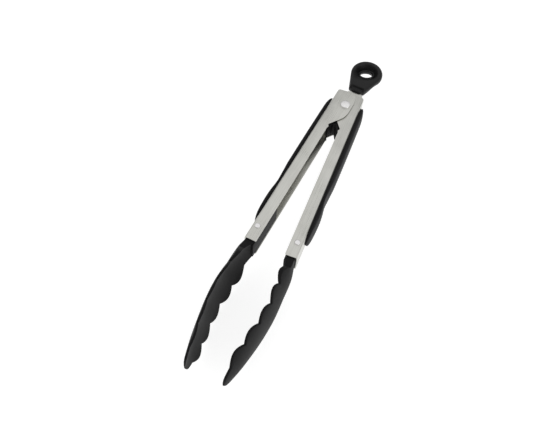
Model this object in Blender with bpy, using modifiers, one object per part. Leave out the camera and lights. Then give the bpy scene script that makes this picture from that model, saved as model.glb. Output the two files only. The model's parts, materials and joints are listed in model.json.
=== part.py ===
"""Spring loaded kitchen tongs with a pull-tab lock, lying on one side.

Frame: metres, +Z up along the pivot axis, +Y towards the pull tab, -Y towards the tips,
the arms open along X.  The outer arm is on the -X side and the inner arm on the +X side.
The origin is the middle of the underside of the whole object's box.

Each arm is drawn in its own arm frame: the pivot axis is at (0, 0), x runs outward to the
arm's web and y runs along the arm towards the tab.  An empty on the pivot axis turns each
arm by half the opening angle.
"""
import math

import bmesh
import bpy
from mathutils import Matrix, Vector

MM = 0.001
GAP = 0.3 * MM

# The whole object
HALF_ANGLE = math.radians(3.2)
HEAD_HALF_WIDTH = 20.975 * MM
TIP_Y = -217.8 * MM
TAB_TOP_Y = 54.0 * MM
PIVOT = Vector((0.0, -(TIP_Y + TAB_TOP_Y) / 2, HEAD_HALF_WIDTH))

# Steel channels
SHEET = 0.7 * MM
WEB_OUT = 10.7 * MM
WEB_IN = WEB_OUT - SHEET
FLANGE_EDGE = 2.7 * MM
ARM_END = -129.2 * MM
OUTER_HALF_HEIGHT = 8.0 * MM
INNER_HALF_HEIGHT = OUTER_HALF_HEIGHT - SHEET - GAP
BEND_RADIUS = 1.2 * MM
WEB_TOP = 8.6 * MM
EAR_TOP = 12.7 * MM
EAR_REACH = -4.95 * MM

# Pivot and spring
RIVET_SHANK = 2.0 * MM
RIVET_HEAD = 3.3 * MM
RIVET_DOME = 1.2 * MM
WASHER_RADIUS = 4.2 * MM
WASHER_HEIGHT = 0.6 * MM
BUSH_RADIUS = 3.2 * MM
BUSH_START = 0.9 * MM
BUSH_END = 6.0 * MM
WIRE = 0.65 * MM
COIL_RADIUS = 4.15 * MM
COIL_LOW = 1.6 * MM
COIL_HIGH = 5.3 * MM
COIL_TURNS = 2.5
LEG_END = -30.0 * MM

# Heads and their rivets
HEAD_RIVET_X = 7.13 * MM
HEAD_RIVET_Y = -118.5 * MM
HEAD_RIVET_SHANK = 1.2 * MM
HEAD_RIVET_RADIUS = 1.9 * MM
HEAD_RIVET_DOME = 0.7 * MM
TANG_TOP = -100.0 * MM
TANG_IN = 3.1 * MM
HEAD_WALL = 1.6 * MM
HEAD_SWAY = 1.05 * MM
INNER_HEAD_TRIM = 2.2 * MM
SCALLOP_START = -138.3 * MM
SCALLOP_PITCH = 14.3 * MM
SCALLOPS = 5
SCALLOP_DEPTH = 3.0 * MM

# Grips
GRIP_TOP = 6.0 * MM
GRIP_END = -113.4 * MM
GRIP_BASE = 1.2 * MM
GRIP_HALF = 6.9 * MM
GRIP_OUT = 14.1 * MM
STUD_PLACES = (-36.0 * MM, -64.0 * MM, -92.0 * MM)
STUD_RADIUS = 1.6 * MM
STUD_END = 8.6 * MM
STUD_WASHER = 3.4 * MM
STUD_WASHER_HEIGHT = 0.5 * MM

# Lock
PLATE = 0.6 * MM
LOCK_STROKE = 7.5 * MM
TONGUE_HALF = 5.7 * MM
WING_OUTER = -9.5 * MM
WING_INNER = 8.6 * MM
WING_TOP = 3.3 * MM
WING_END = -4.5 * MM
STEM_HALF = 3.7 * MM
STEM_END = -17.0 * MM
BLOCK_HALF = 4.4 * MM
BLOCK_HEIGHT = 5.9 * MM
BLOCK_TOP = -13.0 * MM
BLOCK_FORK = -18.3 * MM
BLOCK_END = -21.6 * MM
TONGUE_END = 32.5 * MM
TAB_CENTRE = 42.2 * MM
TAB_RADIUS = TAB_TOP_Y - TAB_CENTRE
TAB_SIDE = -0.5 * MM
TAB_HALF_THICK = 3.0 * MM
TAB_NECK_HALF = 6.3 * MM
TAB_NECK_Y = 23.3 * MM
TAB_END = 20.5 * MM
TANG_HALF = 4.2 * MM
TANG_START = 20.2 * MM
HOLE_RADIUS = 4.2 * MM
DISH_FLOOR = 1.5 * MM
DISH_RADII = (6.6 * MM, 8.4 * MM)


def clear_scene():
    for old in list(bpy.data.objects):
        bpy.data.objects.remove(old, do_unlink=True)


def collection(name):
    group = bpy.data.collections.new(name)
    bpy.context.scene.collection.children.link(group)
    return group


def material(name, colour, roughness, metallic=0.0):
    made = bpy.data.materials.new(name)
    made.use_nodes = True
    shader = made.node_tree.nodes["Principled BSDF"]
    shader.inputs["Base Color"].default_value = (*colour, 1.0)
    shader.inputs["Roughness"].default_value = roughness
    shader.inputs["Metallic"].default_value = metallic
    return made


def add(name, mesh, frame, surface=None, sharp=35.0):
    """A part in its frame (an empty), or a cutter when it has no surface."""
    piece = bpy.data.objects.new(name, mesh)
    piece.parent = frame
    if surface is None:
        CUTTERS.objects.link(piece)
        piece.hide_render = True
        piece.display_type = "WIRE"
        return piece
    PARTS.objects.link(piece)
    mesh.materials.append(surface)
    mesh.shade_smooth()
    mesh.set_sharp_from_angle(angle=math.radians(sharp))
    return piece


def finished(shape, name):
    bmesh.ops.recalc_face_normals(shape, faces=shape.faces)
    if shape.calc_volume(signed=True) < 0:
        bmesh.ops.reverse_faces(shape, faces=shape.faces)
    mesh = bpy.data.meshes.new(name)
    shape.to_mesh(mesh)
    shape.free()
    return mesh


def prism(name, outline, low, high):
    """A flat outline in x and y, from one height to another."""
    shape = bmesh.new()
    face = shape.faces.new([shape.verts.new((x, y, low)) for x, y in outline])
    grown = bmesh.ops.extrude_face_region(shape, geom=[face])["geom"]
    moved = [v for v in grown if isinstance(v, bmesh.types.BMVert)]
    bmesh.ops.translate(shape, verts=moved, vec=(0, 0, high - low))
    return finished(shape, name)


def block(name, low, high, bevel=0.0):
    """A box between two corners, with its edges rounded by a small radius."""
    low, high = Vector(low), Vector(high)
    shape = bmesh.new()
    size = high - low
    place = Matrix.Translation((low + high) / 2) @ Matrix.Diagonal((*[abs(s) for s in size], 1))
    bmesh.ops.create_cube(shape, size=1.0, matrix=place)
    if bevel:
        bmesh.ops.bevel(shape, geom=shape.edges[:], offset=bevel, segments=2, affect="EDGES")
    return finished(shape, name)


def rod(name, radius, low, high, place=Matrix(), sides=24):
    """A round bar along its local Z axis."""
    shape = bmesh.new()
    there = place @ Matrix.Translation((0, 0, (low + high) / 2))
    bmesh.ops.create_cone(shape, cap_ends=True, segments=sides, radius1=radius,
                          radius2=radius, depth=high - low, matrix=there)
    return finished(shape, name)


def turned(name, profile, frame, surface, steps=24):
    """A profile of (radius, height) points, listed from the top down the outer side."""
    shape = bmesh.new()
    points = [shape.verts.new((r, 0, z)) for r, z in profile]
    closed = profile[0][0] > 0
    for first, second in zip(points, points[1:] + (points[:1] if closed else [])):
        shape.edges.new((first, second))
    mesh = bpy.data.meshes.new(name)
    shape.to_mesh(mesh)
    shape.free()
    piece = add(name, mesh, frame, surface)
    screw = piece.modifiers.new("Turn", "SCREW")
    screw.axis = "Z"
    screw.steps = steps
    screw.render_steps = steps
    screw.use_merge_vertices = True
    screw.merge_threshold = 0.00001
    return piece


def arc(centre, radius, start, end, steps):
    """Points on a circle, with the angles in degrees."""
    turn = [math.radians(start + (end - start) * k / steps) for k in range(steps + 1)]
    return [(centre[0] + radius * math.cos(a), centre[1] + radius * math.sin(a)) for a in turn]


def sided(outline, side):
    return [(side * x, y) for x, y in outline]


def cut(piece, cutter, operation="DIFFERENCE"):
    change = piece.modifiers.new(cutter.name, "BOOLEAN")
    change.operation = operation
    change.object = cutter
    change.solver = "EXACT"


def smooth(table, at):
    """A smooth curve through (place, value) pairs whose places run downward."""
    places = [p for p, _ in table]
    values = [v for _, v in table]
    last = len(table) - 1
    k = max(0, min(last - 1, sum(1 for p in places[1:-1] if p > at)))
    slope = [
        (values[min(j + 1, last)] - values[max(j - 1, 0)])
        / (places[min(j + 1, last)] - places[max(j - 1, 0)])
        for j in (k, k + 1)
    ]
    span = places[k + 1] - places[k]
    t = min(1.0, max(0.0, (at - places[k]) / span))
    return (
        (2 * t**3 - 3 * t**2 + 1) * values[k]
        + (t**3 - 2 * t**2 + t) * span * slope[0]
        + (3 * t**2 - 2 * t**3) * values[k + 1]
        + (t**3 - t**2) * span * slope[1]
    )


# ---------------------------------------------------------------- steel channels

def flange_outline():
    """The side view of one arm: the long flange and the ear over the pivot."""
    corner = 2.3 * MM
    outline = [(FLANGE_EDGE + 0.8 * MM, ARM_END), (WEB_OUT, ARM_END)]
    outline += arc((WEB_OUT - corner, EAR_TOP - 0.7 * MM - corner), corner, 0, 80, 5)
    outline += [(3.0 * MM, EAR_TOP)]
    outline += arc((-0.5 * MM, EAR_TOP - corner), corner, 90, 155, 4)
    outline += [(-3.7 * MM, 9.3 * MM), (-4.4 * MM, 6.8 * MM), (-4.8 * MM, 4.0 * MM)]
    outline += [(EAR_REACH, 1.0 * MM), (EAR_REACH, -4.2 * MM)]
    outline += arc((EAR_REACH + 18.0 * MM, -4.2 * MM), 18.0 * MM, 186, 207, 4)
    outline += [(2.9 * MM, -21.1 * MM), (3.1 * MM, -21.9 * MM), (2.2 * MM, -23.4 * MM)]
    outline += [(FLANGE_EDGE, -24.8 * MM), (FLANGE_EDGE, ARM_END + 0.8 * MM)]
    return outline


def rounded_bar(inner, outer, half_height, radius):
    """The channel's section, in x and z, with its two outer corners bent."""
    steps = 4
    high = half_height - radius
    section = [(inner, -half_height)]
    section += arc((outer - radius, -high), radius, -90, 0, steps)
    section += arc((outer - radius, high), radius, 0, 90, steps)
    section += [(inner, half_height)]
    return section


def bar(name, section, side, low, high):
    """A section in x and z, drawn along y."""
    mesh = prism(name, sided(section, side), -high, -low)
    mesh.transform(Matrix.Rotation(math.pi / 2, 4, "X"))
    return mesh


def channel(name, frame, side, half_height):
    arm = add(name, prism(name, sided(flange_outline(), side), -half_height, half_height),
              frame, STEEL)
    reach = 20 * MM
    ends = (ARM_END - reach, EAR_TOP + reach)
    skin = rounded_bar(-reach, WEB_OUT, half_height, BEND_RADIUS)
    hollow = rounded_bar(-2 * reach, WEB_IN, half_height - SHEET, BEND_RADIUS - SHEET)
    cut(arm, add(name + "_skin", bar(name, skin, side, *ends), frame), "INTERSECT")
    cut(arm, add(name + "_hollow", bar(name, hollow, side, *ends), frame))
    window = block(name, (side * 8.5 * MM, WEB_TOP, -half_height + 2 * SHEET),
                   (side * reach, EAR_TOP + reach, half_height - 2 * SHEET))
    cut(arm, add(name + "_window", window, frame))
    through = (-2 * half_height, 2 * half_height)
    cut(arm, add(name + "_pivot_hole", rod(name, RIVET_SHANK + GAP, *through), frame))
    place = Matrix.Translation((side * HEAD_RIVET_X, HEAD_RIVET_Y, 0))
    cut(arm, add(name + "_rivet_hole",
                 rod(name, HEAD_RIVET_SHANK + GAP, *through, place, 16), frame))
    for number, y in enumerate(STUD_PLACES):
        hole = rod(name, STUD_RADIUS + GAP, WEB_IN - 2 * SHEET, WEB_OUT + SHEET,
                   stud_place(side, y), 16)
        cut(arm, add(f"{name}_stud_hole_{number}", hole, frame))
    return arm


# ---------------------------------------------------------------- grips

def stud_place(side, y):
    return Matrix.Translation((0, y, 0)) @ Matrix.Rotation(side * math.pi / 2, 4, "Y")


def grip_height(y):
    """How far the crown of the grip stands from the pivot axis: flat, with a thumb dip."""
    table = [
        (GRIP_TOP, WEB_OUT + 1.9 * MM), (0.0, 13.3 * MM), (-9 * MM, GRIP_OUT),
        (-62 * MM, GRIP_OUT), (-72 * MM, 13.4 * MM), (-80.5 * MM, 12.9 * MM),
        (-88 * MM, 13.8 * MM), (-94 * MM, GRIP_OUT), (-103 * MM, 13.6 * MM),
        (-109 * MM, 12.7 * MM), (GRIP_END, 12.45 * MM),
    ]
    return smooth(table, y)


def grip_width(y):
    """Half the width of the grip: full along the arm, drawn in round at both ends."""
    ramp = 9.0 * MM
    near = min(1.0, (GRIP_TOP - y) / ramp, (y - GRIP_END) / ramp)
    return GRIP_HALF * (0.35 + 0.65 * math.sqrt(max(0.0, 1 - (1 - near) ** 2)))


def grip_stations():
    ends = [0.0, 0.6, 1.6, 3.0, 5.0, 7.0, 9.0]
    top = [GRIP_TOP - e * MM for e in ends]
    end = [GRIP_END + e * MM for e in reversed(ends)]
    middle = [-y * MM for y in (20, 36, 50, 60, 66, 71, 76, 81, 86, 91)]
    return top + middle + [y for y in end if y < -92 * MM]


def loft(name, sections):
    """Closed loops of equal length, joined one to the next and capped at both ends."""
    shape = bmesh.new()
    rings = [[shape.verts.new(p) for p in loop] for loop in sections]
    count = len(rings[0])
    for first, second in zip(rings, rings[1:]):
        for k in range(count):
            after = (k + 1) % count
            shape.faces.new((first[k], first[after], second[after], second[k]))
    shape.faces.new(rings[0])
    shape.faces.new(reversed(rings[-1]))
    return finished(shape, name)


def grip_skin(name, frame, side):
    floor = WEB_OUT + 2 * GAP + GRIP_BASE
    sections = []
    for y in grip_stations():
        half = grip_width(y)
        crown = grip_height(y)
        edge = floor + 0.4 * (crown - floor)
        loop = [(floor, -half), (edge, -half)]
        loop += [(edge + (crown - edge) * math.cos(a), half * math.sin(a))
                 for a in (math.radians(t) for t in (-70, -48, -24, 0, 24, 48, 70))]
        loop += [(edge, half), (floor, half)]
        sections.append([(side * x, y, z) for x, z in loop])
    return add(name, loft(name, sections), frame, GRIP_RUBBER)


def grip_base(name, frame, side):
    low = WEB_OUT + GAP
    margin = 0.5 * MM
    sections = []
    for y in grip_stations():
        half = grip_width(y) - margin
        loop = [(low, -half), (low + GRIP_BASE, -half), (low + GRIP_BASE, half), (low, half)]
        sections.append([(side * x, y, z) for x, z in loop])
    base = add(name, loft(name, sections), frame, BLACK_NYLON)
    for number, y in enumerate(STUD_PLACES):
        stud = rod(name, STUD_RADIUS, STUD_END, low + GRIP_BASE / 2, stud_place(side, y), 16)
        cut(base, add(f"{name}_stud_{number}", stud, frame), "UNION")
    return base


def grip_washer(name, frame, side, y):
    """A push-on washer that holds one stud of the grip inside the channel."""
    place = bpy.data.objects.new(name + "_frame", None)
    place.parent = frame
    place.matrix_local = stud_place(side, y)
    bpy.context.scene.collection.objects.link(place)
    high = WEB_IN - GAP
    low = high - STUD_WASHER_HEIGHT
    inside = STUD_RADIUS + GAP
    turned(name, [(inside, high), (STUD_WASHER, high), (STUD_WASHER, low), (inside, low)],
           place, STEEL, 16)


# ---------------------------------------------------------------- heads

def head_back(y):
    table = [
        (-129 * MM, 9.6 * MM), (-140 * MM, 11.6 * MM), (-153 * MM, 11.6 * MM),
        (-166 * MM, 11.3 * MM), (-179 * MM, 9.8 * MM), (-192 * MM, 7.6 * MM),
        (-204 * MM, 5.2 * MM), (-212 * MM, 2.8 * MM), (TIP_Y, 1.0 * MM),
    ]
    return smooth(table, y)


def head_width(y, neck):
    """Half the width of the head at the cusps of its edge."""
    table = [
        (-129 * MM, neck), (-138.3 * MM, 11.2 * MM), (-152.6 * MM, 16.4 * MM),
        (-166.9 * MM, 17.7 * MM), (-181.2 * MM, 17.9 * MM), (-195.5 * MM, 16.4 * MM),
        (-209.8 * MM, 11.6 * MM), (-214.5 * MM, 8.0 * MM), (TIP_Y, 2.0 * MM),
    ]
    return smooth(table, y)


def head_lip(y):
    """Where the hollow side of the head stands at the cusps of its edge."""
    table = [
        (-129 * MM, 3.1 * MM), (-138.3 * MM, 5.8 * MM), (-152.6 * MM, 6.9 * MM),
        (-166.9 * MM, 7.4 * MM), (-181.2 * MM, 5.9 * MM), (-195.5 * MM, 3.2 * MM),
        (-209.8 * MM, 0.5 * MM), (-214 * MM, -0.2 * MM), (TIP_Y, -0.8 * MM),
    ]
    return smooth(table, y)


def head_scallop(y):
    """How far the scalloped edge stands out beyond the line through its cusps."""
    along = (SCALLOP_START - y) / SCALLOP_PITCH
    return SCALLOP_DEPTH * math.sin(math.pi * (along % 1.0)) if 0 <= along <= SCALLOPS else 0.0


def head_sway(y):
    """How far both heads lean towards -X, from nothing at the neck to all of it at the tip."""
    return HEAD_SWAY * ((ARM_END - y) / (ARM_END - TIP_Y)) ** 2


def head_section(y, side, neck):
    """One slice of the scoop, a dished blade: its back from edge to edge, then its hollow."""
    fade = min(1.0, max(0.0, (-y - 129 * MM) / (24 * MM)))
    cusp = max(head_width(y, neck) - (INNER_HEAD_TRIM * fade if side > 0 else 0.0), 1.5 * MM)
    half = cusp + head_scallop(y)
    lip = head_lip(y) - side * head_sway(y)
    back = max(head_back(y) - side * head_sway(y), lip + HEAD_WALL)
    drop = (back - lip - HEAD_WALL) * fade
    wall = back - lip - drop
    across = [half * t for t in (-1, -0.8, -0.55, -0.28, 0, 0.28, 0.55, 0.8, 1)]
    loop = [(back - drop * (z / cusp) ** 2, z) for z in across]
    loop += [(x - wall, z) for x, z in reversed(loop)]
    return [(side * x, y, z) for x, z in loop]


def head(name, frame, side, neck):
    stations = [ARM_END - GAP - k * MM for k in (0, 3, 6)]
    per = 6
    first = [SCALLOP_START - SCALLOP_PITCH * k / per for k in range(SCALLOPS * per + 1)]
    tip = [y * MM for y in (-211.5, -213.4, -215.2, -216.5, -217.3)] + [TIP_Y]
    loops = [head_section(y, side, neck) for y in stations + first + tip]
    piece = add(name, loft(name, loops), frame, BLACK_NYLON)
    high = WEB_IN - GAP
    tang = block(name, (side * TANG_IN, ARM_END - 2 * MM, -neck), (side * high, TANG_TOP, neck))
    cut(piece, add(name + "_tang", tang, frame), "UNION")
    place = Matrix.Translation((side * HEAD_RIVET_X, HEAD_RIVET_Y, 0))
    hole = rod(name, HEAD_RIVET_SHANK + GAP, -2 * neck, 2 * neck, place, 16)
    cut(piece, add(name + "_rivet_hole", hole, frame))
    return piece


def dome(radius, height, steps):
    """Points of a low dome from its middle to its rim, as (radius, height)."""
    return [(radius * math.sin(math.pi / 2 * k / steps), height * math.cos(math.pi / 2 * k / steps))
            for k in range(steps + 1)]


def rivet(name, frame, shank, head_radius, rise, top, bottom, steps=24):
    """A peened rivet: a shank between two domed heads that sit just off the faces."""
    upper = [(r, top + GAP + z) for r, z in dome(head_radius, rise, 4)]
    lower = [(r, bottom - GAP - z) for r, z in reversed(dome(head_radius, rise, 4))]
    profile = upper + [(shank, top + GAP), (shank, bottom - GAP)] + lower
    return turned(name, profile, frame, BRIGHT_STEEL, steps)


# ---------------------------------------------------------------- spring

def arm_point(side, x, y):
    """A place in an arm's frame, as seen from the pivot with the arms at rest."""
    turn = side * HALF_ANGLE
    return (side * x * math.cos(turn) - y * math.sin(turn),
            side * x * math.sin(turn) + y * math.cos(turn))


def leg(side, height):
    """A spring leg, from the coil down to where it bears on the inside of the web."""
    rest = WEB_IN - GAP - WIRE
    table = [(0.0, COIL_RADIUS), (-3 * MM, 4.4 * MM), (-9 * MM, 7.0 * MM),
             (-15 * MM, rest - 0.3 * MM), (-21 * MM, rest), (LEG_END, rest)]
    places = [-1.5 * MM * k for k in range(1, int(-LEG_END / (1.5 * MM)) + 1)]
    return [(*arm_point(side, smooth(table, y), y), height) for y in places]


def coil(high, low):
    """The turns between the inner arm's leg and the outer arm's leg."""
    steps = 32
    points = []
    for k in range(steps + 1):
        angle = 2 * math.pi * COIL_TURNS * k / steps + HALF_ANGLE * (1 - 2 * k / steps)
        points.append((COIL_RADIUS * math.cos(angle), COIL_RADIUS * math.sin(angle),
                       high + (low - high) * k / steps))
    return points


def torsion_spring():
    upper = list(reversed(leg(1, COIL_HIGH))) + coil(COIL_HIGH, COIL_LOW) + leg(-1, COIL_LOW)
    path = upper + [(x, y, -z) for x, y, z in reversed(upper)]
    curve = bpy.data.curves.new("torsion_spring", "CURVE")
    curve.dimensions = "3D"
    curve.bevel_depth = WIRE
    curve.bevel_resolution = 2
    curve.use_fill_caps = True
    line = curve.splines.new("POLY")
    line.points.add(len(path) - 1)
    for point, place in zip(line.points, path):
        point.co = (*place, 1.0)
    spring = bpy.data.objects.new("torsion_spring", curve)
    spring.parent = PIVOT_FRAME
    curve.materials.append(STEEL)
    PARTS.objects.link(spring)


# ---------------------------------------------------------------- lock

def slide_plate(frame):
    """The steel plate of the lock: a tongue for the tab, two shoulders and a slotted stem.

    The inner shoulder slants, so that the open inner arm clears it at both ends of the slide.
    """
    outline = [
        (TONGUE_HALF, TANG_START), (TANG_HALF, TANG_START), (TANG_HALF, TONGUE_END),
        (-TANG_HALF, TONGUE_END), (-TANG_HALF, TANG_START), (-TONGUE_HALF, TANG_START),
        (-TONGUE_HALF, WING_TOP),
        (WING_OUTER, WING_TOP), (WING_OUTER, WING_END), (-STEM_HALF, WING_END),
        (-STEM_HALF, STEM_END), (STEM_HALF, STEM_END), (STEM_HALF, WING_END),
        (WING_INNER, WING_END), (TONGUE_HALF, WING_TOP),
    ]
    plate = add("lock_slide", prism("lock_slide", outline, -PLATE, PLATE), frame, STEEL)
    round_end = RIVET_SHANK + GAP
    slot = arc((0, 0), round_end, 0, 180, 10) + arc((0, -LOCK_STROKE), round_end, 180, 360, 10)
    cut(plate, add("lock_slide_slot", prism("slot", slot, -4 * PLATE, 4 * PLATE), frame))


def lock_block(frame):
    """The nylon block on the stem, forked at its end, between the arms under the ears."""
    corner = 1.6 * MM
    outline = [
        (BLOCK_HALF - corner, BLOCK_TOP), (-BLOCK_HALF + corner, BLOCK_TOP),
        (-BLOCK_HALF, BLOCK_TOP - corner), (-BLOCK_HALF, BLOCK_END),
        (-BLOCK_HALF + corner, BLOCK_END), (-corner / 2, BLOCK_FORK),
        (corner / 2, BLOCK_FORK), (BLOCK_HALF - corner, BLOCK_END),
        (BLOCK_HALF, BLOCK_END), (BLOCK_HALF, BLOCK_TOP - corner),
    ]
    body = add("lock_block", prism("lock_block", outline, -BLOCK_HEIGHT, BLOCK_HEIGHT),
               frame, BLACK_NYLON)
    wide = STEM_HALF + GAP
    pocket = block("pocket", (-wide, STEM_END - GAP, -PLATE - GAP), (wide, 0, PLATE + GAP))
    cut(body, add("lock_block_pocket", pocket, frame))


def tab_outline():
    """A ring end drawn down to a narrow neck, with straight flanks."""
    lean = math.degrees(math.asin((TAB_RADIUS - TAB_NECK_HALF) / (TAB_CENTRE - TAB_NECK_Y)))
    outline = arc((0, TAB_CENTRE), TAB_RADIUS, -lean, 180 + lean, 26)
    outline += [(-TAB_NECK_HALF, TAB_NECK_Y), (-4.0 * MM, 21.3 * MM), (0, TAB_END),
                (4.0 * MM, 21.3 * MM), (TAB_NECK_HALF, TAB_NECK_Y)]
    return [(x + TAB_SIDE, y) for x, y in outline]


def pull_tab(frame):
    mesh = prism("pull_tab", tab_outline(), -TAB_HALF_THICK, TAB_HALF_THICK)
    tab = add("pull_tab", mesh, frame, BLACK_NYLON)
    soften = tab.modifiers.new("Soften", "BEVEL")
    soften.width = 1.8 * MM
    soften.segments = 3
    soften.limit_method = "ANGLE"
    soften.angle_limit = math.radians(50)
    for facing in (1, -1):
        floor = facing * DISH_FLOOR
        rise = TAB_HALF_THICK - DISH_FLOOR
        shape = bmesh.new()
        wide = DISH_RADII[0] + 2 * (DISH_RADII[1] - DISH_RADII[0])
        radii = (DISH_RADII[0], wide) if facing > 0 else (wide, DISH_RADII[0])
        there = Matrix.Translation((TAB_SIDE, TAB_CENTRE, floor + facing * rise))
        bmesh.ops.create_cone(shape, cap_ends=True, segments=32, radius1=radii[0],
                              radius2=radii[1], depth=2 * rise, matrix=there)
        cut(tab, add(f"dish_{facing}", finished(shape, "dish"), frame))
    hole = arc((TAB_SIDE, TAB_CENTRE), HOLE_RADIUS, 0, 360 * 23 / 24, 23)
    cut(tab, add("hang_hole", prism("hang_hole", hole, -10 * MM, 10 * MM), frame))
    pocket = block("tongue_pocket", (-TANG_HALF - GAP, 0, -PLATE - GAP),
                   (TANG_HALF + GAP, TONGUE_END + GAP, PLATE + GAP))
    cut(tab, add("tongue_pocket", pocket, frame))
    return tab


# ---------------------------------------------------------------- assembly

def frame_empty(name, turn):
    empty = bpy.data.objects.new(name, None)
    empty.location = PIVOT
    empty.rotation_euler = (0, 0, turn)
    bpy.context.scene.collection.objects.link(empty)
    return empty


def arm(name, side, half_height):
    frame = frame_empty(name + "_frame", side * HALF_ANGLE)
    neck = half_height - SHEET - GAP
    channel(name + "_arm_channel", frame, side, half_height)
    head(name + "_head", frame, side, neck)
    grip_base(name + "_grip_base", frame, side)
    for number, y in enumerate(STUD_PLACES, 1):
        grip_washer(f"{name}_grip_washer_{number}", frame, side, y)
    grip_skin(name + "_grip_skin", frame, side)
    place = frame_empty(name + "_head_rivet_frame", 0)
    place.parent = frame
    place.location = (side * HEAD_RIVET_X, HEAD_RIVET_Y, 0)
    rivet(name + "_head_rivet", place, HEAD_RIVET_SHANK, HEAD_RIVET_RADIUS, HEAD_RIVET_DOME,
          half_height, -half_height, 16)
    return frame


clear_scene()
PARTS = collection("kitchen_tongs")
CUTTERS = collection("cutters")
STEEL = material("brushed_steel", (0.62, 0.62, 0.60), 0.34, 1.0)
BRIGHT_STEEL = material("bright_steel", (0.80, 0.80, 0.79), 0.20, 1.0)
BLACK_NYLON = material("black_nylon", (0.018, 0.018, 0.020), 0.42)
GRIP_RUBBER = material("grip_rubber", (0.035, 0.035, 0.038), 0.62)

PIVOT_FRAME = frame_empty("pivot_frame", 0)
outer_frame = arm("outer", -1, OUTER_HALF_HEIGHT)
arm("inner", 1, INNER_HALF_HEIGHT)

WASHER_SPACE = WASHER_HEIGHT + GAP
rivet("pivot_rivet", PIVOT_FRAME, RIVET_SHANK, RIVET_HEAD, RIVET_DOME,
      OUTER_HALF_HEIGHT, -OUTER_HALF_HEIGHT - WASHER_SPACE)
washer_top = -OUTER_HALF_HEIGHT - GAP
turned("pivot_washer", [(RIVET_SHANK + GAP, washer_top), (WASHER_RADIUS, washer_top),
                        (WASHER_RADIUS, washer_top - WASHER_HEIGHT),
                        (RIVET_SHANK + GAP, washer_top - WASHER_HEIGHT)],
       PIVOT_FRAME, BRIGHT_STEEL)
for bush, low, high in (("upper_spring_bush", BUSH_START, BUSH_END),
                        ("lower_spring_bush", -BUSH_END, -BUSH_START)):
    turned(bush, [(RIVET_SHANK + GAP, high), (BUSH_RADIUS, high), (BUSH_RADIUS, low),
                  (RIVET_SHANK + GAP, low)], PIVOT_FRAME, BLACK_NYLON)
torsion_spring()

lock_frame = frame_empty("lock_frame", -HALF_ANGLE)
slide_plate(lock_frame)
lock_block(lock_frame)
pull_tab(lock_frame)
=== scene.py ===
"""Looks of the spring loaded kitchen tongs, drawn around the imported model.

Each arm is drawn in its own arm frame, in metres: the pivot axis is at (0, 0), x runs
outward to the arm's web and y runs along the arm towards the pull tab.  place() puts that
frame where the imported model's joints say.
"""
import json
import math

import bmesh
import bpy
from mathutils import Matrix, Vector


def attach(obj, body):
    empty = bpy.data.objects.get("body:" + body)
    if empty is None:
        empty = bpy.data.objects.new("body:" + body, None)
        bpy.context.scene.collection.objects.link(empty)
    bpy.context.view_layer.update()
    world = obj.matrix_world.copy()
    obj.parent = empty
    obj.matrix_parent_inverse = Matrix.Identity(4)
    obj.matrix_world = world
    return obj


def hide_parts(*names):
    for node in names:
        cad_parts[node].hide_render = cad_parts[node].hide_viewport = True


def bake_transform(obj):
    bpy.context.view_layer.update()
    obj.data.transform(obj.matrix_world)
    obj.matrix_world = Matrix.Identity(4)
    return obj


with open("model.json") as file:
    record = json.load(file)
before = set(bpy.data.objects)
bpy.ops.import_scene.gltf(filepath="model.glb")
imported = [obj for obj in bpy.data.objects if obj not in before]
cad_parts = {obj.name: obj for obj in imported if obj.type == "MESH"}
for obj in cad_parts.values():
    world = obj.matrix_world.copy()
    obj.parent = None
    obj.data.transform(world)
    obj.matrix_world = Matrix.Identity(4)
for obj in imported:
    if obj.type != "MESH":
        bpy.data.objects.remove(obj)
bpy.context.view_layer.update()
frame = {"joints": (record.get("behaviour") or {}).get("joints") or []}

MM = 0.001
GAP = 0.3 * MM

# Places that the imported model's joints give
JOINTS = {joint["name"]: joint for joint in frame["joints"]}
PIVOT = Vector(JOINTS["arms_open"]["pos_m"])
LOCK_AXIS = Vector(JOINTS["lock_pull"]["axis"])
HALF_ANGLE = math.atan2(-LOCK_AXIS.x, -LOCK_AXIS.y)
OUTER, INNER = -1, 1
ARMS = {OUTER: "outer", INNER: "inner"}

# Steel channels
SHEET = 0.7 * MM
WEB_OUT = 10.7 * MM
WEB_IN = WEB_OUT - SHEET
FLANGE_EDGE = 2.7 * MM
ARM_END = -129.2 * MM
BEND_RADIUS = 1.2 * MM
WEB_TOP = 8.6 * MM
EAR_TOP = 12.7 * MM
EAR_REACH = -4.95 * MM
HALF_HEIGHT = {OUTER: 8.0 * MM, INNER: 7.0 * MM}

# Pivot and spring
RIVET_SHANK = 2.0 * MM
RIVET_HEAD = 3.5 * MM
RIVET_DOME = 1.7 * MM
WASHER_RADIUS = 4.2 * MM
WASHER_HEIGHT = 0.6 * MM
BUSH_RADIUS = 3.2 * MM
BUSH_START = 0.9 * MM
BUSH_END = 6.0 * MM
WIRE = 0.65 * MM
COIL_RADIUS = 4.15 * MM
COIL_LOW = 1.6 * MM
COIL_HIGH = 5.3 * MM
COIL_TURNS = 2.5
LEG_END = -30.0 * MM

# Heads and their rivets
HEAD_RIVET_X = 7.13 * MM
HEAD_RIVET_Y = -118.5 * MM
HEAD_RIVET_SHANK = 1.2 * MM
HEAD_RIVET_RADIUS = 1.9 * MM
HEAD_RIVET_DOME = 1.1 * MM
HEAD_RIVET_DIMPLE = 0.7 * MM
TANG_TOP = -100.0 * MM
TANG_IN = 3.1 * MM
TIP_Y = -217.8 * MM
HEAD_WALL = 1.6 * MM
EDGE_ROUND = 0.5 * MM
HEAD_SWAY = 1.05 * MM
INNER_HEAD_TRIM = 2.2 * MM
HEAD_FADE = 24 * MM
NECK_Y = -129 * MM
TIP_ROUND = 2.6 * MM
SCALLOP_START = -138.3 * MM
SCALLOP_PITCH = 14.3 * MM
SCALLOPS = 5
SCALLOP_DEPTH = 3.75 * MM
SCALLOP_CURL = 0.35 * MM

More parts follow.
